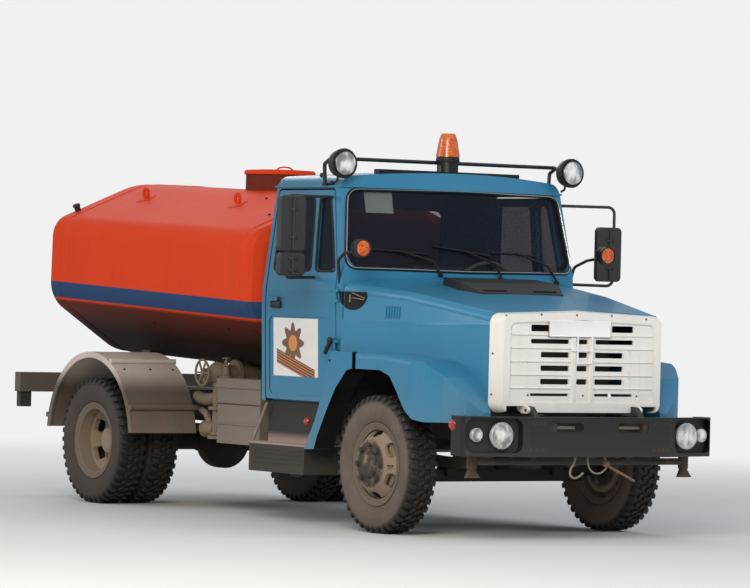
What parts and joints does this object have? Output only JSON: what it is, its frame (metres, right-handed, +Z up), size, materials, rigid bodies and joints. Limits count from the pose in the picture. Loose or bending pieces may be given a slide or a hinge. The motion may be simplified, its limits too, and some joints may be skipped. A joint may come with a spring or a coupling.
{
  "type": "street washer truck",
  "caption": "Two axle bonneted street washer truck with a water tank, spray pipe, steering, opening doors, tilting hood and hinged tank lid.",
  "frame": {"origin": "on the ground, midway between the front face of the bumper and the back of the rear beam, on the centre line", "axes": "+X forward, +Y to the truck's left, +Z up"},
  "size_m": [6.5, 3, 2.844],
  "materials": {
    "frame_black": "chassis paint, dusty",
    "cast_dark": "dusty castings",
    "spring_steel": "dark spring steel",
    "cab_blue": "teal blue enamel",
    "grille_white": "off white enamel",
    "tank_orange": "orange red enamel with a blue stripe, dusty below",
    "fender_grey": "dusty grey brown paint",
    "bumper_black": "black enamel, worn",
    "box_grey": "grey paint, dusty",
    "wheel_tan": "dusty tan enamel",
    "tyre": "dusty rubber",
    "window_glass": "clear glass",
    "lamp_glass": "clear ribbed lenses in black cases",
    "amber_lens": "amber lenses",
    "trim_black": "black plastic",
    "seat_fabric": "worn woven seat cloth",
    "radiator_metal": "dusty core",
    "pipe_paint": "dusty pipe paint"
  },
  "bodies": {
    "chassis": {"battery_box": "box_grey", "bumper_brackets": "frame_black", "cab_floor": "cab_blue", "cab_front": "cab_blue", "cab_rear_wall": "cab_blue", "cab_roof": "cab_blue", "cab_steps": "bumper_black", "cab_windows": "window_glass", "dashboard": "trim_black", "engine": "cast_dark", "frame_crossmembers": "frame_black", "frame_rail_left": "frame_black", "frame_rail_right": "frame_black", "front_axle_beam": "cast_dark", "front_bumper": "bumper_black", "front_lamps": "lamp_glass", "fuel_tank": "box_grey", "leaf_springs": "spring_steel", "propeller_shaft": "cast_dark", "radiator": "radiator_metal", "rear_axle": "cast_dark", "rear_beam": "frame_black", "rear_fenders": "fender_grey", "roof_lamps": "trim_black", "seats": "seat_fabric", "signal_lamps": "amber_lens", "spray_pipe": "pipe_paint", "steering_wheel": "trim_black", "tank_saddles": "frame_black", "water_pipes": "pipe_paint", "water_tank": "tank_orange"},
    "door_left": {"door_left": "cab_blue", "door_glass_left": "window_glass", "mirrors_left": "trim_black"},
    "knuckle_left": {"knuckle_left": "cast_dark"},
    "front_wheel_left": {"front_wheel_left": "wheel_tan", "front_tyre_left": "tyre"},
    "rear_wheels_left": {"rear_wheels_left": "wheel_tan", "rear_tyres_left": "tyre"},
    "door_right": {"door_right": "cab_blue", "door_glass_right": "window_glass", "mirrors_right": "trim_black"},
    "knuckle_right": {"knuckle_right": "cast_dark"},
    "front_wheel_right": {"front_wheel_right": "wheel_tan", "front_tyre_right": "tyre"},
    "rear_wheels_right": {"rear_wheels_right": "wheel_tan", "rear_tyres_right": "tyre"},
    "hood": {"hood": "cab_blue", "grille": "grille_white", "front_fenders": "cab_blue", "hood_scoop": "trim_black"},
    "tie_rod": {"tie_rod": "cast_dark"},
    "tank_lid": {"tank_lid": "tank_orange"}
  },
  "joints": [
    {"name": "steer_left", "type": "hinge", "parent": "chassis", "child": "knuckle_left", "pos_m": [2.05, 0.826, 0.482], "axis": [0, 0, 1], "range_deg": [-34, 34]},
    {"name": "steer_right", "type": "hinge", "parent": "chassis", "child": "knuckle_right", "pos_m": [2.05, -0.826, 0.482], "axis": [0, 0, 1], "range_deg": [-35, 35]},
    {"name": "tie_rod_swing", "type": "hinge", "parent": "knuckle_left", "child": "tie_rod", "pos_m": [1.86, 0.826, 0.382], "axis": [0, 0, 1], "range_deg": [-35, 35]},
    {"name": "front_spin_left", "type": "hinge", "parent": "knuckle_left", "child": "front_wheel_left", "pos_m": [2.05, 0.965, 0.482], "axis": [0, 1, 0], "continuous": true},
    {"name": "rear_spin_left", "type": "hinge", "parent": "chassis", "child": "rear_wheels_left", "pos_m": [-1.75, 0.93, 0.482], "axis": [0, 1, 0], "continuous": true},
    {"name": "door_swing_left", "type": "hinge", "parent": "chassis", "child": "door_left", "pos_m": [1.41, 1.018, 1.3], "axis": [0, 0, -1], "range_deg": [0, 60]},
    {"name": "front_spin_right", "type": "hinge", "parent": "knuckle_right", "child": "front_wheel_right", "pos_m": [2.05, -0.965, 0.482], "axis": [0, 1, 0], "continuous": true},
    {"name": "rear_spin_right", "type": "hinge", "parent": "chassis", "child": "rear_wheels_right", "pos_m": [-1.75, -0.93, 0.482], "axis": [0, 1, 0], "continuous": true},
    {"name": "door_swing_right", "type": "hinge", "parent": "chassis", "child": "door_right", "pos_m": [1.41, -1.018, 1.3], "axis": [0, 0, 1], "range_deg": [0, 60]},
    {"name": "hood_tilt", "type": "hinge", "parent": "chassis", "child": "hood", "pos_m": [3.04, 0, 0.9], "axis": [0, 1, 0], "range_deg": [0, 55]},
    {"name": "lid_swing", "type": "hinge", "parent": "chassis", "child": "tank_lid", "pos_m": [-1.315, 0, 2.5774], "axis": [0, -1, 0], "range_deg": [0, 110]}
  ],
  "couplings": [
    {"joint": "steer_right", "follows": "steer_left", "ratio": 1},
    {"joint": "tie_rod_swing", "follows": "steer_left", "ratio": -1}
  ]
}
